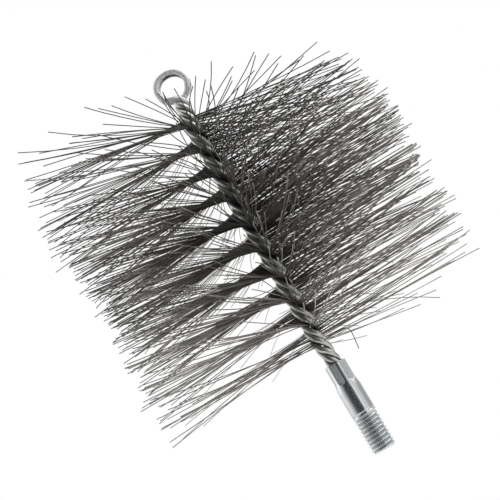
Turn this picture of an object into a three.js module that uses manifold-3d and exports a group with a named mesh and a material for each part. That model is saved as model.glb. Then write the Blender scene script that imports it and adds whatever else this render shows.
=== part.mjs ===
// A chimney sweep brush with a twisted-in wire stem, in millimetres.
// The origin is the centre of the threaded end face. +Z runs up the stem to the pull eye,
// and the eye's open ring faces -Y, the front.
// Two stem wires are folded side by side into the eye, and their four legs are twisted
// together left-handed. They clamp a spiral row of spring-steel bristles between them,
// and their cut ends sit in the socket of a threaded ferrule that is crimped on to them.

import * as THREE from 'three'
import { mergeVertices } from 'three/addons/utils/BufferGeometryUtils.js'
import Module from 'manifold-3d'

const wasm = await Module()
wasm.setup()

// Gap between pieces that touch
const clearance = 0.3
// Extra length that carries a cutting solid past the face it opens
const overrun = 1

// Ferrule: a turned steel bar with a threaded shank for the sweep's rod and a blind socket.
// The shank has the thread's outer size here.
const ferruleLength = 48.5
const threadDiameter = 12.7
const endChamfer = 1.3
const socketDepth = 24
const socketDrillPoint = 2.4
const mouthChamfer = 0.35

// Crimp: six flats with half-round lower ends, pressed round the socket
const crimpFlats = 6
const crimpRadius = 5.65
const crimpLength = 9
const shoulderLength = 6.2
const flatApothem = 5.33
const flatWidth = 4
const flatLength = 11.2
const flatTurn = 19

// Stem: two folded wires, four legs, one left-hand twist
const wireDiameter = 3
const layLength = 28.5
const pairHalfSpacing = 1.85
const legHalfOffset = 1.85
const bristledLegHalfOffset = 2.35
const legSpreadLength = 5
const twistFadeLength = 8.1
const slackHeight = 3.05
const slackStartShare = 0.11
const slackFullShare = 0.2
const sway = 1.3
const legEndGap = 0.4

// Pull eye and the neck below it
const eyeInnerRadius = 6.25
const eyeShoulderRadius = 1.9
const neckLength = 9.7

// Bristles: flat spring-steel strands that leave the stem along a spiral row
const brushRadius = 91.5
const bareStemLength = 10.6
const bristledLength = 136.4
const bristleThickness = 0.5
const bristleTipWidth = 0.5
const rowHalfWidth = 4
const tipLengthScatter = 3.5
const tipRiseScatter = 2.4
const tipSwingScatter = 2
const leftLean = 19.3
const rightLean = 27.8
const frontLean = 9.6
const leanLength = 45
const topTrim = 9
const trimLength = 24
const endThinningShare = 0.35

// Counts
const sectionCount = 4
const stationsPerSection = 50
const wireSides = 8
const stepsPerTurn = 12
const eyeSteps = 20
const shoulderSteps = 3
const ferruleSides = 48
const shoulderRings = 5
const flatEndSteps = 10

// Values worked out from the sizes above
const wireRadius = wireDiameter / 2
const threadRadius = threadDiameter / 2
const bareStemRadius = Math.hypot(pairHalfSpacing, legHalfOffset) + wireRadius
const socketRadius = bareStemRadius + clearance
const socketFloor = ferruleLength - socketDepth
const legEnd = socketFloor + legEndGap
const bristleBottom = ferruleLength + bareStemLength
const bristleTop = bristleBottom + bristledLength
const eyeRadius = eyeInnerRadius + wireRadius
const eyeFoot = bristleTop + neckLength
const eyeShoulderReach = legHalfOffset + eyeShoulderRadius
const eyeRise = Math.sqrt((eyeRadius + eyeShoulderRadius) ** 2 - eyeShoulderReach ** 2)
const eyeCentre = eyeFoot + eyeRise
const shoulderAngle = Math.acos(eyeShoulderReach / (eyeRadius + eyeShoulderRadius))
const twistRate = 2 * Math.PI / layLength
const twistTop = eyeFoot - twistFadeLength / 2

// Height by which the twist lags behind an even one. It is slack in the lower half of the
// bristles, tight below them and even towards the eye.
function slackAt(z) {
  const share = (z - bristleBottom) / bristledLength
  const fromBottom = THREE.MathUtils.smoothstep(share, 0, slackStartShare)
  const fromTop = THREE.MathUtils.smoothstep(share, slackFullShare, 1)
  return slackHeight * fromBottom * (1 - fromTop)
}

// Turn of the stem at a height, in radians. It is zero at the eye, and it grows
// clockwise downwards, seen from above, so the front strands run down to the right.
function twistAt(z) {
  const below = twistTop - z - slackAt(z)
  const halfFade = twistFadeLength / 2
  if (below <= -halfFade) return 0
  if (below >= halfFade) return twistRate * below
  return twistRate * (below + halfFade) ** 2 / (2 * twistFadeLength)
}

// Offset of the stem's axis to the left. It bends aside as it leaves the ferrule, and it
// comes back at the eye.
function swayAt(z) {
  const out = THREE.MathUtils.smoothstep(z, ferruleLength, bristleBottom + legSpreadLength)
  const back = THREE.MathUtils.smoothstep(z, bristleTop - neckLength, eyeCentre)
  return -sway * out * (1 - back)
}

// Puts a point of the untwisted stem, given across the eye and forward of it, in its
// place on the twisted one
function twisted(across, forward, z, target = new THREE.Vector3()) {
  const turn = twistAt(z)
  const cos = Math.cos(turn)
  const sin = Math.sin(turn)
  const x = swayAt(z) + across * cos + forward * sin
  return target.set(x, across * sin - forward * cos, z)
}

// Half the distance between the two pairs of legs, wider where they hold the bristles
function legOffsetAt(z) {
  const fromBottom = THREE.MathUtils.smoothstep(z, bristleBottom - legSpreadLength, bristleBottom)
  const fromTop = THREE.MathUtils.smoothstep(z, bristleTop, bristleTop + legSpreadLength)
  const spread = fromBottom * (1 - fromTop)
  return THREE.MathUtils.lerp(legHalfOffset, bristledLegHalfOffset, spread)
}

// Centre line of one folded wire: up one leg, out over a shoulder, round the eye,
// and down the other leg. Steps are even within each stretch.
class FoldedWire extends THREE.Curve {
  constructor(side) {
    super()
    this.forward = side * pairHalfSpacing
    this.legSteps = Math.round(stepsPerTurn * (eyeFoot - legEnd) / layLength)
    this.halfSteps = this.legSteps + shoulderSteps + eyeSteps / 2
    this.steps = 2 * this.halfSteps
  }

  getUtoTmapping(share) {
    return share
  }

  getPoint(share, target = new THREE.Vector3()) {
    const step = share * this.steps
    const upward = step <= this.halfSteps
    const [across, z] = this.halfPath(upward ? step : this.steps - step)
    return twisted(upward ? across : -across, this.forward, z, target)
  }

  halfPath(step) {
    if (step <= this.legSteps) {
      const z = THREE.MathUtils.lerp(legEnd, eyeFoot, step / this.legSteps)
      return [legOffsetAt(z), z]
    }
    const pastLeg = step - this.legSteps
    if (pastLeg <= shoulderSteps) {
      const angle = shoulderAngle * pastLeg / shoulderSteps
      const across = eyeShoulderReach - eyeShoulderRadius * Math.cos(angle)
      return [across, eyeFoot + eyeShoulderRadius * Math.sin(angle)]
    }
    const sweep = (pastLeg - shoulderSteps) / (eyeSteps / 2)
    const angle = THREE.MathUtils.lerp(-shoulderAngle, Math.PI / 2, sweep)
    return [eyeRadius * Math.cos(angle), eyeCentre + eyeRadius * Math.sin(angle)]
  }

  // Least gap between stretches that lie further apart along the wire than across the eye
  leastGapToItself() {
    const points = this.getPoints(this.steps)
    const along = this.getLengths(this.steps)
    let least = Infinity
    for (let i = 0; i < points.length; i++) {
      for (let j = i + 1; j < points.length; j++) {
        if (along[j] - along[i] < 2 * eyeRadius) continue
        least = Math.min(least, points[i].distanceTo(points[j]) - wireDiameter)
      }
    }
    return least
  }
}

function polygon(sides, radius) {
  const corners = []
  for (let i = 0; i < sides; i++) {
    const angle = 2 * Math.PI * i / sides
    corners.push(new THREE.Vector2(radius * Math.cos(angle), radius * Math.sin(angle)))
  }
  return new THREE.Shape(corners)
}

function stemWireGeometry(path) {
  return new THREE.ExtrudeGeometry(polygon(wireSides, wireRadius), {
    steps: path.steps,
    extrudePath: path,
  })
}

// A repeatable scatter from -1 to 1
function scatter(index, channel) {
  const wave = Math.sin(index * 12.9898 + channel * 78.233) * 43758.5453
  return 2 * (wave - Math.floor(wave)) - 1
}

// Four corners of the clamped row at a height, anticlockwise seen from above
function rowCorners(z) {
  const halfThickness = bristleThickness / 2
  return [
    twisted(halfThickness, rowHalfWidth, z),
    twisted(halfThickness, -rowHalfWidth, z),
    twisted(-halfThickness, -rowHalfWidth, z),
    twisted(-halfThickness, rowHalfWidth, z),
  ]
}

// Height in the row, from its length in shares. The strands stand wider apart towards both
// ends of the row and closer in its middle.
function rowHeight(share) {
  const wave = endThinningShare * Math.sin(2 * Math.PI * share) / (2 * Math.PI)
  return bristleBottom + bristledLength * (share + wave)
}

// Rise of a tip over its root. Strands high in the row lean: their left and front ends
// stand higher than their roots, and their right and back ends lower.
function leanAt(z, tip) {
  const high = THREE.MathUtils.smoothstep(z, bristleTop - leanLength, bristleTop)
  const sideways = tip.x > 0 ? rightLean : leftLean
  return -high * (sideways * tip.x + frontLean * tip.y) / brushRadius
}

// Mean reach of the strands at a height: the topmost ones are shorter
function reachAt(z) {
  return brushRadius - topTrim * THREE.MathUtils.smoothstep(z, bristleTop - trimLength, bristleTop)
}

// Four corners of a strand's cut tip, in the order of the row's side that it grows from
function tipCorners(z, towards, index) {
  const half = bristleTipWidth / 2
  const reach = towards * (reachAt(z) + tipLengthScatter * scatter(index, 1))
  const swing = tipSwingScatter * scatter(index, 3)
  const lean = leanAt(z, twisted(swing, reach, z))
  const rise = z + lean + tipRiseScatter * scatter(index, 2)
  const corners = []
  for (const [acrossSign, riseSign] of [[-1, -1], [1, -1], [1, 1], [-1, 1]]) {
    const corner = twisted(swing + towards * acrossSign * half, reach, z)
    corner.z = rise + riseSign * half
    corners.push(corner)
  }
  return corners
}

// One section of the row, between two shares of its length: the slice that the legs clamp,
// with a strand grown from every station of both its edges. Neighbouring strands share a
// root and then fan out.
function bristleSectionGeometry(bottomShare, topShare, firstIndex) {
  const vertices = []
  const triangles = []
  const addCorners = (corners) => {
    const first = vertices.length / 3
    for (const corner of corners) vertices.push(corner.x, corner.y, corner.z)
    return corners.map((corner, i) => first + i)
  }
  const addQuad = (a, b, c, d) => triangles.push(a, b, c, a, c, d)
  const addStrand = (root, tip) => {
    for (let i = 0; i < 4; i++) addQuad(root[i], root[(i + 1) % 4], tip[(i + 1) % 4], tip[i])
    addQuad(...tip)
  }
  const heightAt = (station) => {
    return rowHeight(THREE.MathUtils.lerp(bottomShare, topShare, station / stationsPerSection))
  }
  const rings = []
  for (let i = 0; i <= stationsPerSection; i++) rings.push(addCorners(rowCorners(heightAt(i))))
  for (let i = 0; i < stationsPerSection; i++) {
    const [a, b, c, d] = rings[i]
    const [e, f, g, h] = rings[i + 1]
    const z = heightAt(i + 1 / 2)
    const index = 2 * (firstIndex + i)
    addQuad(a, b, f, e)
    addQuad(c, d, h, g)
    addStrand([d, a, e, h], addCorners(tipCorners(z, 1, index)))
    addStrand([b, c, g, f], addCorners(tipCorners(z, -1, index + 1)))
  }
  const [a, b, c, d] = rings[0]
  addQuad(a, d, c, b)
  addQuad(...rings[stationsPerSection])
  const geometry = new THREE.BufferGeometry()
  geometry.setAttribute('position', new THREE.Float32BufferAttribute(vertices, 3))
  geometry.setIndex(triangles)
  geometry.computeVertexNormals()
  return geometry
}

function toSolid(geometry) {
  const bare = geometry.clone()
  bare.deleteAttribute('normal')
  bare.deleteAttribute('uv')
  const merged = mergeVertices(bare)
  const index = merged.getIndex().array
  const triVerts = []
  for (let i = 0; i < index.length; i += 3) {
    const [a, b, c] = [index[i], index[i + 1], index[i + 2]]
    if (a !== b && b !== c && c !== a) triVerts.push(a, b, c)
  }
  const mesh = new wasm.Mesh({
    numProp: 3,
    vertProperties: new Float32Array(merged.getAttribute('position').array),
    triVerts: new Uint32Array(triVerts),
  })
  return new wasm.Manifold(mesh)
}

function toGeometry(solid) {
  const mesh = solid.getMesh()
  const geometry = new THREE.BufferGeometry()
  geometry.setAttribute('position', new THREE.BufferAttribute(mesh.vertProperties, 3))
  geometry.setIndex(new THREE.BufferAttribute(mesh.triVerts, 1))
  geometry.computeVertexNormals()
  return geometry
}

// Outline of the turned ferrule, from the middle of its end face to the foot of its socket
function ferruleProfile() {
  const shoulderFoot = ferruleLength - crimpLength - shoulderLength
  const endRadius = threadRadius - endChamfer
  const drillPoint = socketFloor - socketDrillPoint
  const shoulder = []
  for (let i = 0; i <= shoulderRings; i++) {
    const share = i / shoulderRings
    const drawnIn = THREE.MathUtils.smoothstep(share, 0, 1)
    const radius = THREE.MathUtils.lerp(threadRadius, crimpRadius, drawnIn)
    shoulder.push([radius, shoulderFoot + shoulderLength * share])
  }
  return [
    [0, 0],
    [endRadius, 0],
    [threadRadius, endChamfer],
    ...shoulder,
    [crimpRadius, ferruleLength - mouthChamfer],
    [crimpRadius - mouthChamfer, ferruleLength],
    [socketRadius, ferruleLength],
    [socketRadius, socketFloor],
    [0, drillPoint],
  ].map(([radius, z]) => new THREE.Vector2(radius, z))
}

// What one jaw of the crimping die presses away: a bar at the front with a half-round
// lower end, as wide as the flat it leaves
function crimpDieGeometry() {
  const half = flatWidth / 2
  const top = ferruleLength + overrun
  const endCentre = ferruleLength - flatLength + half
  const depth = threadRadius + overrun - flatApothem
  const outline = new THREE.Shape()
  outline.moveTo(half, top)
  outline.lineTo(-half, top)
  outline.lineTo(-half, endCentre)
  outline.absarc(0, endCentre, half, Math.PI, 2 * Math.PI)
  const die = new THREE.ExtrudeGeometry(outline, { depth, bevelEnabled: false, curveSegments: flatEndSteps })
  die.rotateX(Math.PI / 2)
  die.translate(0, -flatApothem, 0)
  return die
}

function ferruleGeometry() {
  const turned = new THREE.LatheGeometry(ferruleProfile(), ferruleSides)
  turned.rotateX(Math.PI / 2)
  let solid = toSolid(turned)
  for (let i = 0; i < crimpFlats; i++) {
    const die = crimpDieGeometry()
    die.rotateZ(2 * Math.PI * i / crimpFlats - THREE.MathUtils.degToRad(flatTurn))
    solid = solid.subtract(toSolid(die))
  }
  return toGeometry(solid)
}

function metal(color, roughness) {
  return new THREE.MeshStandardMaterial({ color, roughness, metalness: 1 })
}

const stemMaterial = metal(0x85837c, 0.38)
const bristleMaterial = metal(0x4a4642, 0.45)
const ferruleMaterial = metal(0xb9c2cc, 0.22)

const brush = new THREE.Group()

function addPiece(name, geometry, material) {
  const piece = new THREE.Mesh(geometry, material)
  piece.name = name
  brush.add(piece)
}

function addStemWires() {
  for (const [name, side] of [['stem_wire_front', 1], ['stem_wire_back', -1]]) {
    const path = new FoldedWire(side)
    console.log(`${name}: least gap to itself ${path.leastGapToItself().toFixed(2)} mm`)
    addPiece(name, stemWireGeometry(path), stemMaterial)
  }
}

function addBristles() {
  const gapShare = clearance / (1 - endThinningShare) / bristledLength
  const pitchShare = (1 + gapShare) / sectionCount
  for (let i = 0; i < sectionCount; i++) {
    const bottomShare = i * pitchShare
    const topShare = bottomShare + pitchShare - gapShare
    const geometry = bristleSectionGeometry(bottomShare, topShare, i * stationsPerSection)
    addPiece(`bristle_section_${i + 1}`, geometry, bristleMaterial)
  }
}

addPiece('threaded_ferrule', ferruleGeometry(), ferruleMaterial)
addStemWires()
addBristles()

export default brush
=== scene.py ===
import math

import bpy
import numpy as np
from bpy.props import FloatProperty, FloatVectorProperty, IntProperty, PointerProperty
from mathutils import Matrix, Vector


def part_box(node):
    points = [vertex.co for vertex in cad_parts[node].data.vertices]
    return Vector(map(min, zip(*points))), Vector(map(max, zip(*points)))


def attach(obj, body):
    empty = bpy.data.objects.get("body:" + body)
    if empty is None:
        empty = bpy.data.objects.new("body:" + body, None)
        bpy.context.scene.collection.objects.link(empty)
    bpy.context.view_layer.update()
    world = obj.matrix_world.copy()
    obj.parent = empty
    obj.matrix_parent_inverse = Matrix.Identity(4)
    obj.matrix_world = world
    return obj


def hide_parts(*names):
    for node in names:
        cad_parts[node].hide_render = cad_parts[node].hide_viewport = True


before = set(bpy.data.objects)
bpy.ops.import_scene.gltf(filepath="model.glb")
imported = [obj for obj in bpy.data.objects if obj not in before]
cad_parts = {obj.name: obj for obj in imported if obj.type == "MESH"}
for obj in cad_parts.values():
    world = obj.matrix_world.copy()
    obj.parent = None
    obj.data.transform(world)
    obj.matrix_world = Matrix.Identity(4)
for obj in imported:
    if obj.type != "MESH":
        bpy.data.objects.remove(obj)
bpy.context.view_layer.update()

bl_info = {
    "name": "Chimney Sweep Brush",
    "version": (1, 0, 0),
    "blender": (4, 5, 0),
    "location": "View3D > Sidebar > Brush",
    "description": "Builds a twisted-wire flue brush on its CAD frame",
    "category": "Object",
}

MM = 0.001
FERRULE_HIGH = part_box("threaded_ferrule")[1]
WIRE_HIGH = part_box("stem_wire_front")[1]
SECTIONS = ("bristle_section_1", "bristle_section_2", "bristle_section_3", "bristle_section_4")
EYE_TOP = WIRE_HIGH.z
FERRULE_TOP = FERRULE_HIGH.z
THREAD_RADIUS = FERRULE_HIGH.x

# Heights above the threaded end in millimetres, and how fast the stem turns there, as shares
# of the even rate of one turn a lay: slack in the middle, tight at the bottom and in the neck
TWIST_HEIGHTS = np.array([
    40.0, 58.0, 67.0, 77.0, 90.0, 102.0, 137.0, 167.0, 190.0, 196.0, 198.0, 207.2, 211.0,
])
TWIST_SHARES = np.array([
    1.05, 1.25, 1.25, 1.02, 0.99, 0.965, 0.955, 0.975, 1.0, 1.0, 1.53, 1.53, 0.0,
])
TWIST_STATIONS = 3001
# Heights over which the stem bends aside above the ferrule, and back again below the eye
SWAY_OUT = (FERRULE_TOP, FERRULE_TOP + 15.6 * MM)
SWAY_BACK = (186 * MM, 214 * MM)
# Painted shade fills the twist up to the first of these distances from the axis and ends at
# the other, and it fades out between these heights over the eye's foot
CREVICE_SHADE_DEPTHS = (1.9 * MM, 3.9 * MM)
CREVICE_SHADE_END = (-2 * MM, 4 * MM)
# How dark painted shade makes the wires between the two rings of the eye, on its left and on
# its right, and the places across the eye between which the left passes into the right
EYE_SHADES = (0.3, 0.95)
EYE_CROSSING = (-7 * MM, -1 * MM)
# The heights over the eye's foot between which that shade begins, and how squarely a wire's
# side faces the other wire where it starts and where it is full, as a cosine
SHADE_START = (1 * MM, 4 * MM)
SHADE_FACING = (-0.35, 0.45)

# Places along the bristle row, as shares of its length, and how densely it is packed there
ROW_SHARES = np.array([0.0, 0.06, 0.15, 0.3, 0.45, 0.6, 0.66, 0.72, 0.8, 0.88, 1.0])
ROW_DENSITY = np.array([0.26, 0.4, 0.62, 0.85, 1.15, 1.24, 1.05, 0.68, 0.52, 0.62, 0.6])
ROW_STATIONS = 401
# How much further than the mean the left and the right ends reach there, in millimetres
ROW_LEFT = np.array([-4.0, -1.0, 0.0, -3.5, -4.5, -4.0, -1.0, 1.0, 3.5, 4.0, 2.0])
ROW_RIGHT = np.array([-2.0, 0.0, 1.0, 0.0, 0.0, 2.5, 3.0, 0.0, -1.0, 0.0, 3.0])
# The clamp holds the bristles in layers, and their roots scatter a little along the row
LAYERS = 3
ROOT_SCATTER = 0.15 * MM
# No reach lies further above its mean, and no rise further from its own, in spreads
REACH_LIMIT = 2.2
RISE_LIMIT = 1.7
# The trim of the topmost bristles starts below the row's top, would be full above it, and
# takes this share more from the right ends and less from the left ones
TRIM_BELOW, TRIM_ABOVE = 24 * MM, 4 * MM
TRIM_RIGHT = 0.4
# Nothing strays so close to the foot of the row
STRAY_FOOT = 14 * MM
# The lowest bristles gather fully up to this share of end_length, and keep this share of
# their own heading
END_START = 0.75
END_KEPT = 0.3
# Rings of a bristle from the clamp to a tip, and how strongly dark tones outnumber light ones
END_RINGS = 7
TONE_POWER = 1.6
# The bent bristle below the row, in millimetres: right, back and up from the row's foot
BENT_POINTS = np.array([
    [1.1, -3.6, 1.5], [6.6, -5.0, 2.2], [12.2, -6.2, 1.9], [14.5, -6.6, 0.9], [15.0, -6.7, -1.3],
    [14.9, -6.8, -3.7], [14.5, -6.9, -6.7], [14.1, -7.0, -10.1], [14.0, -7.0, -10.7],
])
BENT_TONE = 0.2

# Steps of the ferrule's outline: height of a thread step, and stations of the other parts
THREAD_STEP = 0.095 * MM
FACE_STATIONS, SHANK_STATIONS, TAPER_STATIONS, EDGE_STATIONS = 6, 10, 64, 4
# How far past the thread its fine steps go, and where the shank's stations start
STEPS_PAST, SHANK_PAST = 0.6 * MM, 0.9 * MM
# Share of the end face that its middle cap takes, and the chamfer of the socket's edge
CAP_SHARE = 0.1
SOCKET_CHAMFER = 0.12 * MM
# How steeply the chamfer of the threaded end widens
CHAMFER_SLOPE = 1.05
# Where a thread's flank starts and ends, as shares of the way from crest to root, what is left
# of its depth where the die ran out, and the height over which that ends
THREAD_FLANK = (0.1, 0.86)
RUN_OUT_SHARE = 0.12
RUN_OUT_END = 0.15 * MM
# Depths between which painted shade dulls the thread's grooves, and the depth at which a flat
# is fully pressed
GROOVE_SHADE_DEPTHS = (0.2 * MM, 0.8 * MM)
PRESSED_DEPTH = 0.08 * MM
# How softly a flat meets the outside, and how many rings of the rim stay how far behind it
FLAT_BLEND = 0.06 * MM
RIM_RINGS = 2
RIM_SETBACK = 0.2 * MM

# Soft lamps: name, place and side in metres, and power in watts
LAMPS = (
    ("lamp_left", (-1.1, 0.3, 0.5), 0.9, 1.6),
    ("lamp_right", (0.85, 0.1, 0.75), 0.8, 5.0),
    ("lamp_above", (0.1, 0.1, 1.3), 0.8, 6.0),
)
LAMP_TARGET = (0.0, 0.0, 0.12)


def length(name, description, millimetres):
    """A length property whose default is given in millimetres."""
    return FloatProperty(
        name=name,
        description=description,
        default=millimetres * MM,
        min=0.0,
        unit="LENGTH",
        subtype="DISTANCE",
        precision=5,
    )


def share(name, description, value):
    """A plain number from 0 to 1."""
    return FloatProperty(
        name=name, description=description, default=value, min=0.0, max=1.0, subtype="FACTOR"
    )


def colour(name, description, value):
    """A linear colour."""
    return FloatVectorProperty(
        name=name, description=description, default=value, size=3, min=0.0, max=1.0, subtype="COLOR"
    )


def angle(name, description, degrees):
    """An angle property whose default is given in degrees."""
    return FloatProperty(
        name=name,
        description=description,
        default=math.radians(degrees),
        subtype="ANGLE",
        unit="ROTATION",
    )


class StemSizes(bpy.types.PropertyGroup):
    wire_diameter: length("Wire diameter", "Thickness of one stem wire", 3.15)
    lay: length("Lay", "Height of one full turn of the twist", 28.5)
    pair_half_spacing: length("Pair half spacing", "From the axis forward or back to a wire", 1.75)
    leg_half_offset: length("Leg half offset", "From the axis sideways to a leg", 1.75)
    bristled_half_offset: length("Bristled half offset", "The same where bristles are held", 2.3)
    spread_length: length("Spread length", "Height over which the legs spread apart", 5.0)
    eye_turn: angle("Eye turn", "How far the eye faces left of the front", 1.0)
    eye_radius: length("Eye radius", "From the ring's middle sideways to its centre line", 8.35)
    eye_height_share: share("Eye height", "Height of the eye's ring as a share of its width", 0.92)
    eye_splay: length("Eye splay", "How far each ring of the eye leans away from the other", 0.8)
    eye_drop: length("Eye drop", "From the top of the CAD's eye to the eye's middle", 9.14)
    sway: length("Sway", "How far the bristled stem is bent to the left", 1.3)
    shoulder_radius: length("Eye shoulder radius", "Bend between a leg and the eye's ring", 1.7)
    leg_depth: length("Leg depth", "How deep the legs' ends lie in the ferrule", 23.6)
    lateral_steps: IntProperty(name="Sides", description="Sides of a stem wire", default=28, min=8)
    turn_steps: IntProperty(
        name="Steps a turn", description="Steps along one turn of a leg", default=48, min=12
    )
    bend_steps: IntProperty(
        name="Bend steps", description="Steps along the bend below the eye", default=10, min=3
    )
    ring_steps: IntProperty(
        name="Ring steps", description="Steps along half the eye's ring", default=40, min=8
    )


class BristleSizes(bpy.types.PropertyGroup):
    reach: length("Reach", "From the stem's axis to the mean bristle tip", 91.0)
    reach_scatter: length("Reach scatter", "Spread of the bristles' reach", 2.0)
    short_scatter: length("Short scatter", "Most that a short bristle is shorter by", 24.0)
    top_trim: length("Top trim", "How much shorter the topmost bristles are", 10.0)
    bare_stem: length("Bare stem", "Bare twist between the ferrule and the bristles", 10.6)
    row_length: length("Row length", "Height of the bristled part", 136.4)
    thickness: length("Thickness", "Diameter of one bristle", 0.48)
    layer_spacing: length("Layer spacing", "Between the layers that the legs clamp", 0.42)
    exit_radius: length("Exit radius", "Where a bristle leaves the clamp and may bend", 3.3)
    swing: angle("Swing", "Spread of the tips sideways from the spiral", 3.2)
    rise: angle("Rise", "Spread of the tips along the stem", 2.3)
    loose_share: share("Loose share", "How much more the topmost bristles spread", 0.4)
    early_share: share("Early share", "Share of that spread that starts at the clamp", 0.35)
    low_early_share: share("Low early share", "The same for the lowest bristles", 0.65)
    left_share: share("Left share", "How much more the left ends rise and fall", 0.7)
    low_share: share("Low share", "How much more again the lowest left ends do", 0.3)
    high_share: share("High share", "How much more the topmost right ends rise and fall", 0.8)
    high_cut: share("High cut", "How much less the topmost ends rise than they fall", 0.3)
    short_share: share("Short share", "Share of the bristle ends that are short", 0.12)
    stray_scatter: angle("Stray scatter", "Swing and rise of the stray ends", 8.0)
    stray_share: share("Stray share", "Share of the bristle ends that stray", 0.1)
    back_gather: angle("Back gather", "How far the back left ends turn towards the left", 15.0)
    front_fan: angle("Front fan", "Rise of the front left ends", 3.5)
    left_lift: angle("Left lift", "Rise of all left ends", 0.5)
    left_lean: angle("Left lean", "Rise of the topmost bristles' left ends", 4.5)
    right_lean: angle("Right lean", "Fall of the topmost bristles' right ends", 13.0)
    front_lean: angle("Front lean", "Rise of the topmost bristles' front ends", 0.5)
    lean_length: length("Lean length", "Height of the row that leans", 38.0)
    end_gather: angle("End gather", "Heading of the lowest bristles' front ends", -56.0)
    end_fall: angle("End fall", "How far the same ends fall", 1.5)
    end_length: length("End length", "Height of the lowest bristles that gather", 4.6)
    bow: length("Bow", "How far a bristle's middle leaves the straight line", 0.45)
    count: IntProperty(
        name="Wires", description="Bristle wires, each with two ends", default=730, min=8
    )
    sides: IntProperty(name="Sides", description="Sides of one bristle", default=5, min=3)
    seed: IntProperty(name="Seed", description="Start of the scatter", default=12)


class FerruleSizes(bpy.types.PropertyGroup):
    thread_pitch: length("Thread pitch", "Height of one turn of the thread", 2.117)
    thread_depth: length("Thread depth", "From crest to root of the thread", 0.8)
    thread_length: length("Thread length", "Height of the threaded shank", 21.4)
    run_out: length("Run-out", "Height over which the thread fades into the shank", 4.2)
    end_chamfer: length("End chamfer", "Chamfer on the threaded end", 1.15)
    crimp_radius: length("Crimp radius", "Radius over the ridges between the flats", 5.65)
    crimp_length: length("Crimp length", "Drawn-in part round the socket", 9.0)
    shoulder_length: length("Shoulder length", "Taper from the crimp to the shank", 6.2)
    flat_apothem: length("Flat apothem", "From the axis to a pressed flat", 5.25)
    flat_length: length("Flat length", "From the rim to the middle of the flat's round end", 9.1)
    flat_half_width: length("Flat half width", "Half the width that is pressed fully flat", 1.5)
    edge_round: length("Edge round", "Radius of the die's rounded edge", 0.5)
    flat_turn: angle("Flat turn", "How far the first flat is turned from the front", 19.0)
    mouth_chamfer: length("Mouth chamfer", "Edge of the socket's rim", 0.35)
    socket_radius: length("Socket radius", "Radius of the socket", 4.4)
    socket_depth: length("Socket depth", "Depth of the socket", 24.0)
    columns: IntProperty(name="Columns", description="Faces round the ferrule", default=168, min=48)
    flats: IntProperty(name="Flats", description="Flats of the crimp", default=6, min=3)


class Finishes(bpy.types.PropertyGroup):
    # Each bristle's own tone and stains, and painted light and shade, run between bristle dark and
    # bristle light
    bristle_dark: colour("Bristle dark", "Spring steel in shade", (0.06, 0.053, 0.049))
    bristle_light: colour("Bristle light", "Spring steel that shines", (0.365, 0.342, 0.314))
    # Painted light: the pale colour of the far bristles, lit by the white background
    bristle_painted_light: colour("Bristle far", "Spring steel against the background", (0.8, 0.79, 0.77))
    stem_bright: colour("Stem bright", "Galvanised wire", (0.54, 0.532, 0.5))
    # Painted light: the lighter wire of the neck and the eye
    stem_painted_light: colour("Stem clean", "Galvanised wire above the bristles", (0.97, 0.97, 0.96))
    # The dark of painted shade in the twist and the eye, of dirt and painted shade under the
    # bristles, and of the wire's own marks
    stem_shade_and_marks: colour("Stem dull", "Grime in the twist", (0.05, 0.049, 0.043))
    zinc_bright: colour("Zinc bright", "Bright zinc plating", (0.7, 0.715, 0.71))
    zinc_blue: colour("Zinc blue", "Blue tint of the plating", (0.62, 0.64, 0.66))
    # The dark of painted shade in the thread's grooves and of the pressed flats' marks
    zinc_shade_and_marks: colour("Zinc dull", "Thread roots and marks", (0.2, 0.215, 0.23))
    floor: colour("Floor", "Pale floor", (0.9, 0.9, 0.9))


class StageSettings(bpy.types.PropertyGroup):
    distance: length("Camera distance", "From the stem's axis to the camera", 620.0)
    height: length("Camera height", "Camera above the threaded end", 9.8)
    aim_height: length("Aim height", "Height of the stem beside the picture's middle", 119.4)
    aim_left: length("Aim left", "From the stem to the picture's middle, to its left", 7.85)
    roll: angle("Roll", "Lean of the stem in the picture, to the left", 30.33)
    lens: FloatProperty(
        name="Lens", description="Focal length in millimetres", default=89.6, min=10.0
    )
    floor_drop: length("Floor drop", "Floor below the threaded end", 150.0)
    floor_size: length("Floor size", "Side of the floor", 900.0)


class BrushSettings(bpy.types.PropertyGroup):
    stem: PointerProperty(type=StemSizes)
    bristles: PointerProperty(type=BristleSizes)
    ferrule: PointerProperty(type=FerruleSizes)
    finishes: PointerProperty(type=Finishes)
    stage: PointerProperty(type=StageSettings)


class Term:
    """A value on its way through a material: Python sums on it add Math nodes."""

    def __init__(self, shading, socket):
        self.shading = shading
        self.socket = socket

    def math(self, operation, *others):
        """This value and the others through one Math node."""
        inputs = dict(enumerate((self, *others)))
        return self.shading.node("ShaderNodeMath", inputs, operation=operation)

    def __add__(self, other):
        return self.math("ADD", other)

    __radd__ = __add__

    def __mul__(self, other):
        return self.math("MULTIPLY", other)

    __rmul__ = __mul__

    def __sub__(self, other):
        return self.math("SUBTRACT", other)

    def __rsub__(self, other):
        return (self * -1.0) + other

    def clamped(self):
        """The value, held between 0 and 1."""
        return self.math("MINIMUM", 1.0).math("MAXIMUM", 0.0)

    def between(self, low, high):
        """0 below low, 1 above high, and a smooth step from one to the other."""
        inputs = {"Value": self, "From Min": low, "From Max": high}
        return self.shading.node("ShaderNodeMapRange", inputs, interpolation_type="SMOOTHSTEP")


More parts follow.
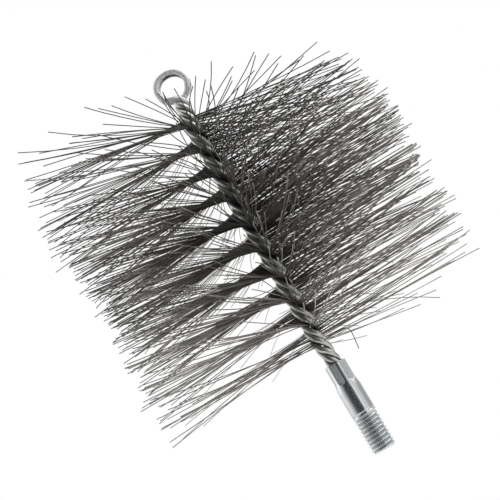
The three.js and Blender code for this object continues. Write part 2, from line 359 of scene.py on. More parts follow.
class Shading:
    """Adds nodes to one material or world."""

    def __init__(self, owner):
        owner.use_nodes = True
        self.tree = owner.node_tree
        self.tree.nodes.clear()

    def node(self, kind, inputs=None, output=0, **settings):
        """One node: its settings first, then the values or links of its sockets."""
        made = self.tree.nodes.new(kind)
        for name, value in settings.items():
            setattr(made, name, value)
        for name, value in (inputs or {}).items():
            if isinstance(value, Term):
                self.tree.links.new(value.socket, made.inputs[name])
            else:
                made.inputs[name].default_value = value
        return Term(self, made.outputs[output]) if len(made.outputs) else None

    def attribute(self, name, output="Fac"):
        """A piece's own attribute: a number, or its output Vector."""
        return self.node("ShaderNodeAttribute", output=output, attribute_name=name)

    def mix(self, factor, first, second):
        """Colour between first, at factor 0, and second, at factor 1."""
        first = first if isinstance(first, Term) else (*first, 1.0)
        second = second if isinstance(second, Term) else (*second, 1.0)
        inputs = {0: factor, 6: first, 7: second}
        return self.node("ShaderNodeMix", inputs, output=2, data_type="RGBA")

    def noise(self, vector, scale, detail=2.0, roughness=0.5):
        """A cloudy pattern round 0.5."""
        inputs = {"Vector": vector, "Scale": scale, "Detail": detail, "Roughness": roughness}
        return self.node("ShaderNodeTexNoise", inputs)

    def axes(self, vector):
        """The three numbers of a vector."""
        return [self.node("ShaderNodeSeparateXYZ", {0: vector}, output=i) for i in range(3)]

    def stretched(self, vector, scale):
        """The vector with each axis scaled by its own number."""
        return self.node("ShaderNodeVectorMath", {0: vector, 1: scale}, operation="MULTIPLY")

    def bump(self, height, strength, distance):
        """A normal that follows the height."""
        inputs = {"Height": height, "Strength": strength, "Distance": distance}
        return self.node("ShaderNodeBump", inputs)

    def surface(self, **inputs):
        """The finished surface: underscores in the names stand for spaces."""
        named = {name.replace("_", " "): value for name, value in inputs.items()}
        shader = self.node("ShaderNodeBsdfPrincipled", named)
        self.node("ShaderNodeOutputMaterial", {"Surface": shader})


def new_material(name):
    """An empty material and the Shading that fills it."""
    material = bpy.data.materials.new(name)
    return material, Shading(material)


def bristle_material(finishes):
    """Dark spring steel: each bristle has its own tone, oil stains dull the lengths, the
    roots are darkest with dark oxide and painted shade, painted shade darkens the upper part
    of the row, painted light brightens the lowest bristles, the lower left ones and those in
    front, and painted light makes the far ones on the left pale against the background."""
    material, shading = new_material("spring_steel")
    tone = shading.attribute("tone")
    place = shading.node("ShaderNodeTexCoord", output="Object")
    x, y, z = shading.axes(place)
    # Painted light: lighter towards the bottom of the row
    low = 1.0 - z.between(0.055, 0.13)
    lower = 1.0 - z.between(0.12, 0.17)
    # Dark oxide and painted shade: darker towards the roots
    outer = (x * x + y * y).math("SQRT").between(0.006, 0.055)
    stain = shading.noise(place, 90.0, 2.0, 0.6).between(0.35, 0.7)
    # Painted light: lighter in front of the stem below the top of the row, and on the lower left
    ahead = (y * -1.0).between(0.02, 0.085)
    pale = low * (x * -1.0).between(0.01, 0.05) * 0.25
    # Painted light: the far bristles on the left are paler and less metallic
    far = y.between(0.008, 0.035) * (x * -1.0).between(-0.01, 0.01)
    # Dark oxide and painted shade near the roots, and painted shade in the upper part of the row
    oxide_and_painted_shade = (outer * 0.55 + 0.45) * (1.0 - z.between(0.14, 0.185) * 0.3)
    own = tone * 0.55 + stain * 0.2 + low * 0.4 + ahead * lower * 0.3
    light = (own * oxide_and_painted_shade + far * 0.3 + pale).clamped()
    steel = shading.mix(light, finishes.bristle_dark, finishes.bristle_light)
    fine = shading.noise(place, 1500.0, 1.0)
    shading.surface(
        Base_Color=shading.mix(far * 0.35, steel, finishes.bristle_painted_light),
        Metallic=0.75 - far * 0.3,
        Roughness=0.5 - light * 0.16 + fine * 0.06,
        Normal=shading.bump(fine, 0.15, 0.00005),
    )
    return material


def stem_material(finishes):
    """Drawn galvanised wire: streaks run along the wire, painted shade sits in the twist and
    between the rings of the eye, dirt and painted shade darken the stretch that holds the
    bristles, and painted light makes the wire above it lighter."""
    material, shading = new_material("galvanised_wire")
    lay = shading.attribute("drawn", "Vector")
    place = shading.node("ShaderNodeTexCoord", output="Object")
    z = shading.axes(place)[2]
    # Dirt and painted shade: darker where the bristles are held
    dirt_and_painted_shade = z.between(0.06, 0.15) * (1.0 - z.between(0.188, 0.2))
    # Painted light: lighter and less metallic from the neck up
    painted_eye_light = z.between(0.198, 0.208)
    streak = shading.noise(shading.stretched(lay, (1400.0, 1400.0, 60.0)), 1.0, 3.0, 0.6)
    spangle = shading.noise(place, 420.0, 3.0, 0.6)
    # Painted shade in the twist and between the rings of the eye
    painted_crevice_shade = shading.attribute("crevice")
    marks = spangle.between(0.45, 0.75) * 0.2 + streak.between(0.5, 0.8) * 0.15
    dull = (painted_crevice_shade * 0.8 + dirt_and_painted_shade * 0.12 + marks).clamped()
    steel = shading.mix(painted_eye_light, finishes.stem_bright, finishes.stem_painted_light)
    height = streak * 0.7 + spangle * 0.3
    shading.surface(
        Base_Color=shading.mix(dull, steel, finishes.stem_shade_and_marks),
        Metallic=0.95 - painted_eye_light * 0.75,
        Roughness=0.27 + dull * 0.2 + painted_eye_light * 0.08,
        Normal=shading.bump(height, 0.3, 0.0001),
    )
    return material


def zinc_material(finishes):
    """Bright zinc on turned steel: fine turning rings, a faint blue cast, thread roots dulled
    by painted shade, and rougher pressed flats."""
    material, shading = new_material("bright_zinc")
    place = shading.node("ShaderNodeTexCoord", output="Object")
    rings = shading.noise(shading.stretched(place, (60.0, 60.0, 5200.0)), 1.0, 2.0, 0.7)
    cloud = shading.noise(shading.stretched(place, (1.0, 1.0, 0.3)), 260.0, 3.0, 0.6)
    # Painted shade in the thread's grooves
    painted_groove_shade = shading.attribute("root")
    pressed = shading.attribute("pressed")
    tint = shading.mix(cloud.between(0.35, 0.7), finishes.zinc_bright, finishes.zinc_blue)
    dull = (painted_groove_shade * 0.55 + pressed * 0.2).clamped()
    shading.surface(
        Base_Color=shading.mix(dull, tint, finishes.zinc_shade_and_marks),
        Metallic=1.0,
        Roughness=0.2 + cloud * 0.08 + painted_groove_shade * 0.2 + pressed * 0.28,
        Normal=shading.bump(rings, 0.05, 0.00004),
    )
    return material


def floor_material(finishes):
    """A pale matt floor that takes the brush's shadow."""
    material, shading = new_material("pale_floor")
    shading.surface(Base_Color=(*finishes.floor, 1.0), Roughness=0.9, Metallic=0.0)
    return material


def place_mesh(name, vertices, quads, caps=(), attributes=None):
    """Puts whole arrays into a new object: smooth quads, (n, 4), flat caps, each a ring of
    vertices, and attributes on the vertices."""
    mesh = bpy.data.meshes.new(name)
    rings = [np.asarray(cap, dtype=np.int32).ravel() for cap in caps]
    loops = np.concatenate([np.asarray(quads, dtype=np.int32).ravel(), *rings])
    totals = np.concatenate([np.full(len(quads), 4), [len(ring) for ring in rings]])
    totals = totals.astype(np.int32)
    starts = np.concatenate([[0], np.cumsum(totals)[:-1]]).astype(np.int32)
    mesh.vertices.add(len(vertices))
    mesh.vertices.foreach_set("co", np.asarray(vertices, dtype=np.float32).ravel())
    mesh.loops.add(len(loops))
    mesh.loops.foreach_set("vertex_index", loops)
    mesh.polygons.add(len(totals))
    mesh.polygons.foreach_set("loop_start", starts)
    mesh.polygons.foreach_set("loop_total", totals)
    smooth = np.ones(len(totals), dtype=bool)
    smooth[len(quads):] = False
    mesh.polygons.foreach_set("use_smooth", smooth)
    for key, values in (attributes or {}).items():
        values = np.asarray(values, dtype=np.float32)
        kind = "FLOAT_VECTOR" if values.ndim == 2 else "FLOAT"
        layer = mesh.attributes.new(key, kind, "POINT")
        layer.data.foreach_set("vector" if values.ndim == 2 else "value", values.ravel())
    mesh.update(calc_edges=True)
    mesh.validate()
    made = bpy.data.objects.new(name, mesh)
    bpy.context.scene.collection.objects.link(made)
    return made


def dress(made, material, slot, *nodes):
    """Gives a piece its material and its body, and hides the CAD nodes that it stands for.
    The slot is not used.
    """
    made.data.materials.append(material)
    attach(made, "root")
    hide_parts(*nodes)


def grid_quads(rows, columns):
    """Faces of a grid of rows by columns whose columns close into a ring."""
    row = np.arange(rows - 1)[:, None] * columns
    column = np.arange(columns)[None, :]
    following = (column + 1) % columns
    corners = (row + column, row + following, row + columns + following, row + columns + column)
    return np.stack(corners, axis=-1).reshape(-1, 4)


def smoothstep(value, low, high):
    """0 below low, 1 above high, and 3 t^2 - 2 t^3 of the share t between them."""
    step = np.clip((value - low) / (high - low), 0.0, 1.0)
    return step * step * (3.0 - 2.0 * step)


def unit(vectors):
    """The vectors, each divided by its own length."""
    return vectors / np.linalg.norm(vectors, axis=-1, keepdims=True)


def eye_geometry(stem):
    """The eye, hung from the top of the CAD's eye: the heights of its middle and of its foot,
    where the legs end, and the distance of the lower bends' middles from the stem's axis and
    their angle. Each bend touches its leg and the ring, so the three middles and the leg make
    a right-angled triangle."""
    centre = EYE_TOP - stem.eye_drop
    bend_middle = stem.leg_half_offset + stem.shoulder_radius
    between = stem.eye_radius + stem.shoulder_radius
    foot = centre - stem.eye_height_share * math.sqrt(between ** 2 - bend_middle ** 2)
    return centre, foot, bend_middle, math.acos(bend_middle / between)


def twist_at(z, stem):
    """Turn of the stem at each height: the even rate of one turn a lay times the table's
    shares, summed up from each height to the eye."""
    heights = np.linspace(TWIST_HEIGHTS[0], TWIST_HEIGHTS[-1], TWIST_STATIONS) * MM
    rates = 2 * math.pi / stem.lay * np.interp(heights, TWIST_HEIGHTS * MM, TWIST_SHARES)
    steps = (rates[1:] + rates[:-1]) / 2 * np.diff(heights)
    turns = np.concatenate([[0.0], np.cumsum(steps)])
    below = rates[0] * np.maximum(heights[0] - z, 0.0)
    return turns[-1] - np.interp(z, heights, turns) + below - stem.eye_turn


def sway_at(z, stem):
    """Offset of the stem to the left: it leaves the ferrule straight, bends aside at once,
    and comes back towards the eye."""
    return -stem.sway * smoothstep(z, *SWAY_OUT) * (1 - smoothstep(z, *SWAY_BACK))


def twisted(across, forward, z, stem):
    """Points given across and forward of the eye's plane, turned about the axis with the stem
    at their height, and swayed with it."""
    turn = twist_at(z, stem)
    x = across * np.cos(turn) + forward * np.sin(turn) + sway_at(z, stem)
    y = across * np.sin(turn) - forward * np.cos(turn)
    return np.stack(np.broadcast_arrays(x, y, z), axis=-1)


def row_span(settings):
    """Lowest and highest root of the bristle row."""
    bottom = FERRULE_TOP + settings.bristles.bare_stem
    return bottom, bottom + settings.bristles.row_length


def wire_path(forward, settings):
    """Centre line of one folded wire and its heights: a leg whose offset widens over the
    bristles, an arc of the bend, an arc of the ring, and the mirror image of all three. The
    ring is a little flattened, and it leans away from the other wire's ring."""
    stem = settings.stem
    centre, foot, bend_middle, bend_angle = eye_geometry(stem)
    bottom, top = row_span(settings)
    low = FERRULE_TOP - stem.leg_depth
    steps = int(round(stem.turn_steps * (foot - low) / stem.lay))
    z = np.linspace(low, foot, steps, endpoint=False)
    spread = smoothstep(z, bottom - stem.spread_length, bottom)
    spread = spread * (1 - smoothstep(z, top, top + stem.spread_length))
    leg = stem.leg_half_offset + (stem.bristled_half_offset - stem.leg_half_offset) * spread
    bend = np.linspace(0.0, bend_angle, stem.bend_steps, endpoint=False)
    ring = np.linspace(-bend_angle, math.pi / 2, stem.ring_steps)
    bend_across = bend_middle - stem.shoulder_radius * np.cos(bend)
    bend_height = stem.eye_height_share * stem.shoulder_radius * np.sin(bend) + foot
    ring_height = stem.eye_height_share * stem.eye_radius * np.sin(ring) + centre
    across = np.concatenate([leg, bend_across, stem.eye_radius * np.cos(ring)])
    height = np.concatenate([z, bend_height, ring_height])
    across = np.concatenate([across, -across[-2::-1]])
    height = np.concatenate([height, height[-2::-1]])
    lean = math.copysign(stem.eye_splay, forward) * smoothstep(height, foot, EYE_TOP)
    return twisted(across, forward + lean, height, stem), height


def stem_wire(name, side, settings):
    """A tube round the centre line: each point lies at cos(a) forward plus sin(a) sideways of
    it. Forward follows the stem's own turn, squared to the tangent, so the tube never twists
    on itself. Painted shade grows towards the axis, and painted shade darkens the sides that
    face the other wire in the eye."""
    stem = settings.stem
    path, height = wire_path(side * stem.pair_half_spacing, settings)
    tangent = unit(np.gradient(path, axis=0))
    turn = twist_at(height, stem)
    forward = np.stack([np.sin(turn), -np.cos(turn), np.zeros_like(turn)], axis=-1)
    forward = unit(forward - tangent * np.sum(forward * tangent, axis=-1, keepdims=True))
    sideways = np.cross(tangent, forward)
    sides = stem.lateral_steps
    around = np.linspace(0.0, 2 * math.pi, sides, endpoint=False)
    cosine, sine = np.cos(around)[None, :, None], np.sin(around)[None, :, None]
    radius = stem.wire_diameter / 2
    vertices = path[:, None] + radius * (forward[:, None] * cosine + sideways[:, None] * sine)
    along = np.concatenate([[0.0], np.cumsum(np.linalg.norm(np.diff(path, axis=0), axis=1))])
    drawn = np.broadcast_arrays(radius * cosine, radius * sine, along[:, None, None])
    x, y, z = np.moveaxis(vertices, -1, 0)
    foot = eye_geometry(stem)[1]
    # Painted shade: darker towards the axis, in the hollows of the twist
    deep = 1 - smoothstep(np.hypot(x - sway_at(z, stem), y), *CREVICE_SHADE_DEPTHS)
    deep = deep * (1 - smoothstep(z - foot, *CREVICE_SHADE_END))
    # Painted shade on the sides that face the other wire in the eye, more on the right
    inner = smoothstep(-side * np.cos(around), *SHADE_FACING)
    left, right = EYE_SHADES
    shade = left + (right - left) * smoothstep(x, *EYE_CROSSING)
    shade = shade * inner * smoothstep(z - foot, *SHADE_START)
    rings = len(path)
    ends = [np.arange(sides)[::-1], (rings - 1) * sides + np.arange(sides)]
    return place_mesh(
        name,
        vertices.reshape(-1, 3),
        grid_quads(rings, sides),
        ends,
        {"drawn": np.concatenate(drawn, axis=-1).reshape(-1, 3), "crevice": (deep + shade).ravel()},
    )


def bristle_roots(settings, random):
    """Heights of the roots, lowest first: even steps of the row density's running sum, each
    with a little scatter of its own."""
    bottom, top = row_span(settings)
    wires = settings.bristles.count
    places = np.linspace(0.0, 1.0, ROW_STATIONS)
    packed = np.cumsum(np.interp(places, ROW_SHARES, ROW_DENSITY))
    packed = (packed - packed[0]) / (packed[-1] - packed[0])
    shares = np.interp((np.arange(wires) + 0.5) / wires, packed, places)
    root = bottom + (top - bottom) * shares
    return np.clip(root + random.normal(0.0, ROOT_SCATTER, wires), bottom, top)


def row_parts(settings, root):
    """How far a root belongs to the lowest and to the topmost bristles, from 0 to 1."""
    bottom, top = row_span(settings)
    leaning = settings.bristles.lean_length
    return 1 - smoothstep(root, bottom, bottom + leaning), smoothstep(root, top - leaning, top)


def end_scatter(settings, root, ends, random):
    """Reach, swing, rise, two bows and straying of both ends of every wire, as (wires, 2),
    scattered round the means. A few ends are short or stray. The topmost are trimmed, spread
    wider and rise less than they fall."""
    sizes = settings.bristles
    bottom, top = row_span(settings)
    high = row_parts(settings, root)[1]
    pairs = ends.shape
    reach = sizes.reach + random.normal(0.0, sizes.reach_scatter, pairs)
    short = random.random(pairs) < sizes.short_share
    reach = np.where(short, reach - sizes.short_scatter * random.random(pairs), reach)
    trimmed = smoothstep(root, top - TRIM_BELOW, top + TRIM_ABOVE)
    reach = reach - sizes.top_trim * trimmed * (1 + TRIM_RIGHT * np.sin(ends))
    reach = np.minimum(reach, sizes.reach + REACH_LIMIT * sizes.reach_scatter)
    stray = (random.random(pairs) < sizes.stray_share) & (root > bottom + STRAY_FOOT)
    loose = 1 + sizes.loose_share * high
    swing = np.where(stray, sizes.stray_scatter, sizes.swing * loose)
    swing = random.normal(0.0, 1.0, pairs) * swing
    rise = np.where(stray, sizes.stray_scatter, sizes.rise * loose)
    rise = np.clip(random.normal(0.0, 1.0, pairs), -RISE_LIMIT, RISE_LIMIT) * rise
    rise = rise * (1 - sizes.high_cut * high * (rise > 0))
    bow_side = random.normal(0.0, sizes.bow, pairs)
    bow_rise = random.normal(0.0, sizes.bow, pairs)
    return reach, swing, rise, bow_side, bow_rise, stray


def end_headings(sizes, ends, lowest):
    """Headings h of the ends from the front, and which of them gather at the row's foot. The
    back left ones turn towards the left by back_gather * sin(2h). The front ones of the
    lowest bristles turn towards end_gather."""
    back_left = np.maximum(-np.sin(ends), 0.0) * np.maximum(-np.cos(ends), 0.0)
    heading = ends + 2 * sizes.back_gather * back_left
    heading = (heading + math.pi) % (2 * math.pi) - math.pi
    gathered = np.minimum(heading, sizes.end_gather + END_KEPT * heading)
    gathering = (np.abs(heading) < math.pi / 2) * lowest
    return heading + (gathered - heading) * gathering, gathering


def bristle_ends(settings, root, turn, random):
    """Reach, heading, swing, rise and two bows of both ends of every wire, as (wires, 2). The
    two ends lie at opposite turns. To the scatter come the wider rises of the left, lowest
    and topmost ends, the fan of the front left ends, the fall of the gathered ends and the
    row's own outline."""
    sizes = settings.bristles
    bottom, top = row_span(settings)
    low, high = row_parts(settings, root)
    ends = turn + np.array([[math.pi, 0.0]])
    reach, swing, rise, bow_side, bow_rise, stray = end_scatter(settings, root, ends, random)
    end_top = bottom + sizes.end_length
    lowest = 1 - smoothstep(root, bottom + END_START * sizes.end_length, end_top)
    heading, gathering = end_headings(sizes, ends, lowest)
    left = np.maximum(-np.sin(heading), 0.0)
    right = np.maximum(np.sin(heading), 0.0)
    front = np.maximum(np.cos(heading), 0.0)
    wider = (sizes.left_share + sizes.low_share * low) * left + sizes.high_share * high * right
    rise = rise * (1 + wider * ~stray) - sizes.end_fall * gathering
    rise = rise + 2 * sizes.front_fan * left * front * (1 - lowest) * (1 - high)
    place = (root - bottom) / (top - bottom)
    further = np.interp(place, ROW_SHARES, ROW_LEFT) * left
    further = further + np.interp(place, ROW_SHARES, ROW_RIGHT) * right
    return reach + further * MM, heading, swing, rise, bow_side, bow_rise


def row_lean(sizes, x, y, high):
    """How far a bristle sinks on its way to x, y: the topmost fall to the right and the back
    and rise to the left and the front, and all rise a little to the left."""
    sideways = np.where(x > 0, math.tan(sizes.right_lean), math.tan(sizes.left_lean) * high)
    topmost = (sideways * x + math.tan(sizes.front_lean) * y) * high
    return topmost + math.tan(sizes.left_lift) * np.minimum(x, 0.0)


def bristle_paths(settings, random):
    """Centre lines of all bristle wires, as (wires, rings, 3), and the heights of their roots.
    Each runs from one tip through the clamp to the other tip. The point at a share t of an
    end's free reach lies that far out from the clamp along the end's heading and rise, plus
    4 t (1 - t) times its bows, less the row's lean. The early share of swing and rise is
    there at the clamp, and the rest grows with t."""
    sizes = settings.bristles
    root = bristle_roots(settings, random)[:, None]
    low, high = row_parts(settings, root)
    turn = twist_at(root, settings.stem)
    numbers = bristle_ends(settings, root, turn, random)
    shares = np.linspace(0.0, 1.0, END_RINGS)
    stations = np.concatenate([-1.0 - shares[::-1], [0.0], 1.0 + shares])
    side = np.sign(stations)
    t = np.maximum(np.abs(stations) - 1.0, 0.0)
    reach, heading, swing, rise, bow_side, bow_rise = (
        np.where(side < 0, pair[:, :1], pair[:, 1:]) for pair in numbers
    )
    distance = (reach - sizes.exit_radius) * t
    arch = 4 * t * (1 - t)
    early = sizes.early_share + (sizes.low_early_share - sizes.early_share) * low
    part = early + (1 - early) * t
    rise = rise * part
    heading = heading + swing * part
    level = distance * np.cos(rise)
    lateral = bow_side * arch
    sine, cosine = np.sin(heading), np.cos(heading)
    layer = (np.arange(sizes.count) % LAYERS - LAYERS // 2)[:, None] * sizes.layer_spacing
    clamp = side * sizes.exit_radius
    x = clamp * np.sin(turn) + layer * np.cos(turn) + level * sine + lateral * cosine
    y = -clamp * np.cos(turn) + layer * np.sin(turn) - level * cosine + lateral * sine
    z = root + distance * np.sin(rise) + bow_rise * arch - row_lean(sizes, x, y, high)
    return np.stack([x + sway_at(root, settings.stem), y, z], axis=-1), root[:, 0]


def tubes(paths, radius, sides):
    """Tubes round many centre lines at once, (tubes, rings, 3): each ring is cos(a) of a
    level direction square to the line, less sin(a) of the direction square to both."""
    tangent = unit(np.gradient(paths, axis=1))
    up = np.array([0.0, 0.0, 1.0])
    level = unit(np.cross(tangent, up))
    steep = np.cross(level, tangent)
    around = np.linspace(0.0, 2 * math.pi, sides, endpoint=False)[:, None]
    ring = level[:, :, None] * np.cos(around) - steep[:, :, None] * np.sin(around)
    vertices = paths[:, :, None] + radius * ring
    count, rings = paths.shape[:2]
    one = grid_quads(rings, sides)
    firsts = np.arange(count) * rings * sides
    quads = (firsts[:, None, None] + one[None]).reshape(-1, 4)
    caps = [start + np.arange(sides)[::-1] for start in firsts]
    caps += [start + (rings - 1) * sides + np.arange(sides) for start in firsts]
    return vertices.reshape(-1, 3), quads, caps


def bent_bristle(settings, rings):
    """The one bristle below the row that was bent over: out to the right, then down."""
    stations = np.linspace(0.0, len(BENT_POINTS) - 1.0, rings)
    places = np.arange(len(BENT_POINTS))
    line = np.stack([np.interp(stations, places, axis) for axis in BENT_POINTS.T], axis=-1)
    return (line * MM + np.array([0.0, 0.0, row_span(settings)[0]]))[None]


def ferrule_profile(sizes):
    """Stations of the ferrule's outline, from the middle of its threaded end up its outside,
    over the rim and down into the socket: radius and height, and where the outside starts
    and ends in them. A smooth step takes the shank's radius to the crimp's."""
    end = THREAD_RADIUS - sizes.end_chamfer
    crimp_foot = FERRULE_TOP - sizes.crimp_length
    shoulder_foot = crimp_foot - sizes.shoulder_length
    rim = FERRULE_TOP - sizes.mouth_chamfer
    face = np.linspace(CAP_SHARE, 1.0, FACE_STATIONS) * end
    thread = np.arange(0.0, sizes.thread_length + STEPS_PAST, THREAD_STEP)[1:]
    shank = np.linspace(sizes.thread_length + SHANK_PAST, shoulder_foot, SHANK_STATIONS)
    taper = np.linspace(shoulder_foot, rim, TAPER_STATIONS)[1:]
    rim_radius = sizes.crimp_radius - sizes.mouth_chamfer
    edge = np.linspace(rim_radius, sizes.socket_radius + SOCKET_CHAMFER, EDGE_STATIONS)
    depth = sizes.socket_depth
    bore = np.array([SOCKET_CHAMFER, 0.4 * MM, 3.0 * MM, depth / 2, depth])
    outside = np.concatenate([thread, shank, taper])
    drawn_in = smoothstep(outside, shoulder_foot, crimp_foot)
    outside_radius = THREAD_RADIUS + (sizes.crimp_radius - THREAD_RADIUS) * drawn_in
    chamfer = end + outside * CHAMFER_SLOPE
    outside_radius = np.minimum(outside_radius, chamfer)
    bore_radius = np.full(len(bore), sizes.socket_radius)
    radius = np.concatenate([face, outside_radius, edge, bore_radius])
    rim_height = np.full(len(edge), FERRULE_TOP)
    height = np.concatenate([np.zeros(len(face)), outside, rim_height, FERRULE_TOP - bore])
    return radius, height, len(face), len(face) + len(outside)


def thread_depth_at(around, z, sizes):
    """Depth of the right-hand thread: a flattened triangle wave of height minus pitch
    times turn, faded out where the die stopped."""
    turn = z / sizes.thread_pitch - around / (2 * math.pi)
    wave = np.abs(2 * (turn - np.floor(turn)) - 1)
    form = smoothstep(wave, *THREAD_FLANK)
    fade = 1 - smoothstep(z, sizes.thread_length - sizes.run_out, sizes.thread_length)
    depth = sizes.thread_depth * form * (RUN_OUT_SHARE + (1 - RUN_OUT_SHARE) * fade)
    return depth * (1 - smoothstep(z, sizes.thread_length - RUN_OUT_END, sizes.thread_length))


def flat_radius_at(around, z, sizes):
    """Distance from the axis to the pressed flats. A die leaves a plane with a half-round
    lower end: past the plane's half width w its face lifts off by (d - w)^2 / (2 r), where
    d is the distance from the flat's middle line. The cosine turns height over the plane
    into distance from the axis."""
    pitch = 2 * math.pi / sizes.flats
    first = -math.pi / 2 - sizes.flat_turn
    off = (around - first + pitch / 2) % pitch - pitch / 2
    below = np.maximum(FERRULE_TOP - sizes.flat_length - z, 0.0)
    from_middle = np.hypot(sizes.flat_apothem * np.tan(off), below)
    past = np.maximum(from_middle - sizes.flat_half_width, 0.0)
    return (sizes.flat_apothem + past ** 2 / (2 * sizes.edge_round)) / np.cos(off)


def soft_minimum(first, second, blend):
    """The lesser of two values, rounded where they meet."""
    mixed = np.clip(0.5 + 0.5 * (second - first) / blend, 0.0, 1.0)
    return second + (first - second) * mixed - blend * mixed * (1 - mixed)


def ferrule(settings):
    """The outline carried round the axis, with the thread taken off its shank and the
    crimp's flats pressed into its top."""
    sizes = settings.ferrule
    columns = sizes.columns
    radius, height, first, last = ferrule_profile(sizes)
    rows = len(radius)
    around = np.linspace(0.0, 2 * math.pi, columns, endpoint=False)[None, :]
    z = np.broadcast_to(height[:, None], (rows, columns))
    r = np.broadcast_to(radius[:, None], (rows, columns)).copy()
    dull = np.zeros_like(r)
    pressed = np.zeros_like(r)
    outer = slice(first, last)
    depth = thread_depth_at(around, z[outer], sizes)
    flat = flat_radius_at(around, z[outer], sizes)
    # Painted shade: darker in the thread's grooves
    dull[outer] = smoothstep(depth, *GROOVE_SHADE_DEPTHS)
    pressed[outer] = smoothstep(r[outer] - flat, 0.0, PRESSED_DEPTH)
    r[outer] = soft_minimum(np.minimum(r[outer], THREAD_RADIUS - depth), flat, FLAT_BLEND)
    rim = slice(last, last + RIM_RINGS)
    r[rim] = np.minimum(r[rim], flat_radius_at(around, z[rim], sizes) - RIM_SETBACK)
    vertices = np.stack([r * np.cos(around), r * np.sin(around), z], axis=-1)
    return place_mesh(
        "threaded_ferrule_finished",
        vertices.reshape(-1, 3),
        grid_quads(rows, columns),
        [np.arange(columns)[::-1], (rows - 1) * columns + np.arange(columns)],
        {"root": dull.ravel(), "pressed": pressed.ravel()},
    )


def stand_camera(stage):
    """The photograph's view: level with the threaded end, aimed up at the bristles, and
    rolled so that the stem leans to the left."""
    eye = Vector((0.0, -stage.distance, stage.height))
    aim = Vector((-stage.aim_left, 0.0, stage.aim_height))
    ahead = (aim - eye).normalized()
    right = ahead.cross(Vector((0.0, 0.0, 1.0))).normalized()
    up = right.cross(ahead)
    top = math.cos(stage.roll) * up + math.sin(stage.roll) * right
    side = math.cos(stage.roll) * right - math.sin(stage.roll) * up
    camera = bpy.data.objects.new("camera", bpy.data.cameras.new("camera"))
    turned = Matrix((side, top, -ahead)).transposed().to_4x4()
    camera.matrix_world = Matrix.Translation(eye) @ turned
    camera.data.lens = stage.lens
    camera.data.sensor_width = 36.0
    camera.data.clip_start = 0.01
    camera.data.clip_end = 30.0
    bpy.context.scene.collection.objects.link(camera)
    bpy.context.scene.camera = camera


def soft_lamp(name, place, side, watts):
    """A square soft box at place, facing the middle of the brush."""
    lamp = bpy.data.lights.new(name, "AREA")
    lamp.shape = "RECTANGLE"
    lamp.size = lamp.size_y = side
    lamp.energy = watts
    made = bpy.data.objects.new(name, lamp)
    made.location = place
    towards = Vector(LAMP_TARGET) - Vector(place)
    made.rotation_euler = towards.to_track_quat("-Z", "Y").to_euler()
    bpy.context.scene.collection.objects.link(made)


def light_world():
    """White behind the brush. The metal mirrors a room whose brightness follows the bearing
    from the front in degrees: dark round the camera, a pale screen with a bright edge to the
    right of that, grey beyond it, pale on the left, and the white background behind."""
    world = bpy.data.worlds.new("studio")
    bpy.context.scene.world = world
    shading = Shading(world)
    x, y, z = shading.axes(shading.node("ShaderNodeTexCoord", output="Generated"))
    bearing = x.math("ARCTAN2", y * -1.0) * (180.0 / math.pi)
    dark = bearing.between(-78.0, -34.0) * (1.0 - bearing.between(23.0, 31.0))
    screen = bearing.between(22.0, 30.0) * (1.0 - bearing.between(56.0, 76.0))
    strip = bearing.between(27.0, 32.0) * (1.0 - bearing.between(40.0, 46.0))
    grey = bearing.between(72.0, 88.0) * (1.0 - bearing.between(122.0, 150.0))
    behind = bearing.math("ABSOLUTE").between(125.0, 165.0)
    level = 0.76 - dark * 0.7 + screen * 0.04 + strip * 0.35 - grey * 0.32
    steep = z.math("ABSOLUTE").between(0.55, 0.95)
    room = level * (1.0 - steep) + steep * (0.7 + z * 0.35)
    camera, glossy, through = (
        shading.node("ShaderNodeLightPath", output=f"Is {kind} Ray")
        for kind in ("Camera", "Glossy", "Transmission")
    )
    white = (camera + (glossy + through) * behind).clamped()
    seen = room * (1.0 - white) + white
    tint = shading.mix(dark * (1.0 - white), (1.0, 1.0, 1.0), (0.8, 0.92, 1.0))
    background = shading.node("ShaderNodeBackground", {"Color": tint, "Strength": seen})
    shading.node("ShaderNodeOutputWorld", {"Surface": background})


class BRUSH_OT_stage(bpy.types.Operator):
    """Adds the camera, the soft lamps, the white surroundings and the pale floor"""

    bl_idname = "brush.stage"
    bl_label = "Stage"

    def execute(self, context):
        settings = context.scene.brush
        stage = settings.stage
        stand_camera(stage)
        light_world()
        for lamp in LAMPS:
            soft_lamp(*lamp)
        corners = np.array([[-0.5, -0.5, 0.0], [0.5, -0.5, 0.0], [0.5, 0.5, 0.0], [-0.5, 0.5, 0.0]])
        corners = corners * stage.floor_size - np.array([0.0, 0.0, stage.floor_drop])
        floor = place_mesh("floor", corners, np.array([[0, 1, 2, 3]]))
        floor.data.materials.append(floor_material(settings.finishes))
        context.scene.view_settings.view_transform = "Standard"
        return {"FINISHED"}


class BRUSH_OT_ferrule(bpy.types.Operator):
    """Builds the crimped and threaded ferrule"""

    bl_idname = "brush.ferrule"
    bl_label = "Ferrule"

    def execute(self, context):
        settings = context.scene.brush
        made = ferrule(settings)
        dress(made, zinc_material(settings.finishes), "ferrule_steel", "threaded_ferrule")
        return {"FINISHED"}


class BRUSH_OT_stem(bpy.types.Operator):
    """Builds the two folded stem wires with their pull eye"""

    bl_idname = "brush.stem"
    bl_label = "Stem wires"

    def execute(self, context):
        settings = context.scene.brush
        material = stem_material(settings.finishes)
        for node, side in (("stem_wire_front", 1), ("stem_wire_back", -1)):
            made = stem_wire(f"{node}_finished", side, settings)
            dress(made, material, "stem_steel", node)
        return {"FINISHED"}


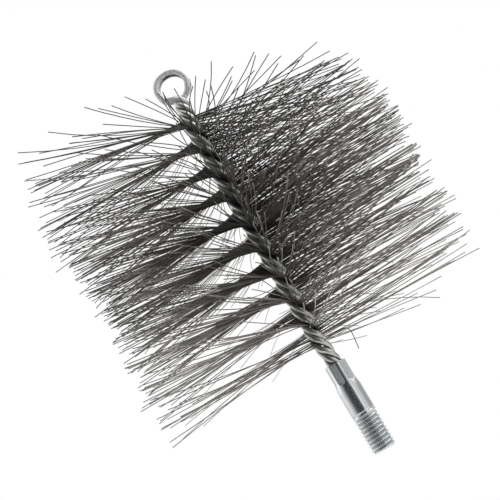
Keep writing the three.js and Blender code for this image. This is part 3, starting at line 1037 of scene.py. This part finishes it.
class BRUSH_OT_bristles(bpy.types.Operator):
    """Builds the spiral row of bristles, one piece for each section of the row"""

    bl_idname = "brush.bristles"
    bl_label = "Bristles"

    def execute(self, context):
        settings = context.scene.brush
        sizes = settings.bristles
        material = bristle_material(settings.finishes)
        random = np.random.default_rng(sizes.seed)
        paths, roots = bristle_paths(settings, random)
        tones = random.random(len(paths)) ** TONE_POWER
        bottom, top = row_span(settings)
        section = ((roots - bottom) / (top - bottom) * len(SECTIONS)).astype(int)
        section = np.minimum(section, len(SECTIONS) - 1)
        for i, node in enumerate(SECTIONS):
            mine = paths[section == i]
            tone = tones[section == i]
            if i == 0:
                mine = np.concatenate([mine, bent_bristle(settings, mine.shape[1])])
                tone = np.append(tone, BENT_TONE)
            vertices, quads, caps = tubes(mine, sizes.thickness / 2, sizes.sides)
            tone = np.repeat(tone, mine.shape[1] * sizes.sides)
            made = place_mesh(f"{node}_finished", vertices, quads, caps, {"tone": tone})
            dress(made, material, "bristle_steel", node)
        return {"FINISHED"}


class BRUSH_PT_sidebar(bpy.types.Panel):
    bl_label = "Brush"
    bl_idname = "BRUSH_PT_sidebar"
    bl_space_type = "VIEW_3D"
    bl_region_type = "UI"
    bl_category = "Brush"

    def draw(self, context):
        for operator in OPERATORS:
            self.layout.operator(operator.bl_idname)
        settings = context.scene.brush
        for part in settings.__annotations__:
            group = getattr(settings, part)
            box = self.layout.box()
            for name in group.__annotations__:
                box.prop(group, name)


OPERATORS = (BRUSH_OT_stage, BRUSH_OT_ferrule, BRUSH_OT_stem, BRUSH_OT_bristles)
GROUPS = (StemSizes, BristleSizes, FerruleSizes, Finishes, StageSettings, BrushSettings)


def register():
    for made in (*GROUPS, *OPERATORS, BRUSH_PT_sidebar):
        bpy.utils.register_class(made)
    bpy.types.Scene.brush = PointerProperty(type=BrushSettings)


def unregister():
    del bpy.types.Scene.brush
    for made in reversed((*GROUPS, *OPERATORS, BRUSH_PT_sidebar)):
        bpy.utils.unregister_class(made)


def main():
    register()
    bpy.ops.brush.stage()
    bpy.ops.brush.ferrule()
    bpy.ops.brush.stem()
    bpy.ops.brush.bristles()


if __name__ == "__main__":
    main()
